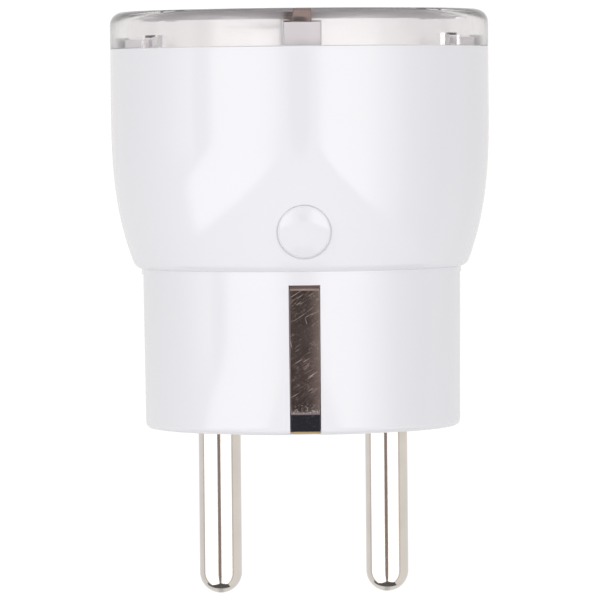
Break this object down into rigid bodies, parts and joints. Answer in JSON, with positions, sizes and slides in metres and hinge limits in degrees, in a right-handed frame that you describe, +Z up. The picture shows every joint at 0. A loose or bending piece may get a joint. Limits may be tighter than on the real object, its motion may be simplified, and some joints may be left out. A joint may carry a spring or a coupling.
{
  "type": "plug-in power meter",
  "caption": "Round plug-in mains adaptor that meters and switches power, with a socket in its top, a clear light ring, a push button and two round pins.",
  "frame": {"origin": "centre of the plug's engagement face, on the axis of the body, midway between the two pins", "axes": "+Z up along the body's axis, out of the socket; -Y towards the front with the button; the pins lie along X and point to -Z"},
  "size_m": [0.043, 0.043, 0.0662],
  "materials": {
    "white_shell": "glossy",
    "socket_insert": "satin",
    "clear_ring": "clear",
    "button_cap": "satin gloss",
    "nickel": "nickel plated, polished",
    "earth_metal": "nickel plated, worn",
    "brass": "stamped",
    "spring_wire": "drawn",
    "screw_steel": "zinc plated",
    "board": "solder mask",
    "relay_case": "moulded",
    "winding": "enamelled wire",
    "relay_iron": "plain",
    "capacitor_sleeve": "sleeved can",
    "capacitor_box": "moulded box",
    "varistor_coat": "dipped epoxy",
    "resistor_body": "lacquered",
    "shunt_metal": "rolled alloy",
    "chip_epoxy": "moulded",
    "switch_plastic": "moulded",
    "wire_sleeve": "matt",
    "led_package": "clear domed",
    "flex_print": "film"
  },
  "bodies": {
    "housing": {"base_shell": "white_shell", "head_shell": "white_shell", "light_ring": "clear_ring", "socket_cup": "socket_insert", "tact_switch_body": "switch_plastic", "line_pin": "nickel", "neutral_pin": "nickel", "earth_strap_front": "earth_metal", "earth_strap_rear": "earth_metal", "earth_link": "earth_metal", "line_contact": "brass", "neutral_contact": "brass", "line_busbar": "brass", "neutral_busbar": "brass", "shutter_spring": "spring_wire", "shutter_retainer": "socket_insert", "retainer_screws": "screw_steel", "main_board": "board", "board_screws": "screw_steel", "relay_base": "relay_case", "relay_cover": "relay_case", "relay_coil": "winding", "relay_yoke": "relay_iron", "relay_fixed_contact": "brass", "smoothing_capacitor": "capacitor_sleeve", "suppression_capacitor": "capacitor_box", "varistor": "varistor_coat", "fuse_resistor": "resistor_body", "choke": "winding", "shunt": "shunt_metal", "rectifier": "chip_epoxy", "metering_chip": "chip_epoxy", "radio_board": "board", "radio_shield": "screw_steel", "board_header": "brass", "antenna_wire": "wire_sleeve", "led_flex": "flex_print", "leds": "led_package"},
    "button": {"power_button": "button_cap", "tact_switch_plunger": "switch_plastic"},
    "shutter_rotor": {"shutter": "socket_insert"},
    "armature": {"relay_armature": "relay_iron", "relay_moving_contact": "brass"}
  },
  "joints": [
    {"name": "button_press", "type": "slide", "parent": "housing", "child": "button", "axis": [0, 1, 0], "range_m": [0, 0.0003], "stiffness_N_per_m": 3000, "springref_m": -0.0001},
    {"name": "shutter_turn", "type": "hinge", "parent": "housing", "child": "shutter_rotor", "pos_m": [0, 0, 0.0267], "axis": [0, 0, 1], "range_deg": [0, 37], "stiffness_Nm_per_rad": 0.0004, "springref_deg": -17.19, "deforming": ["shutter_spring"]},
    {"name": "armature_pull", "type": "hinge", "parent": "housing", "child": "armature", "pos_m": [0, 0.0079, 0.02105], "axis": [1, 0, 0], "range_deg": [0, 3.5], "stiffness_Nm_per_rad": 0.002, "springref_deg": -11.46}
  ]
}
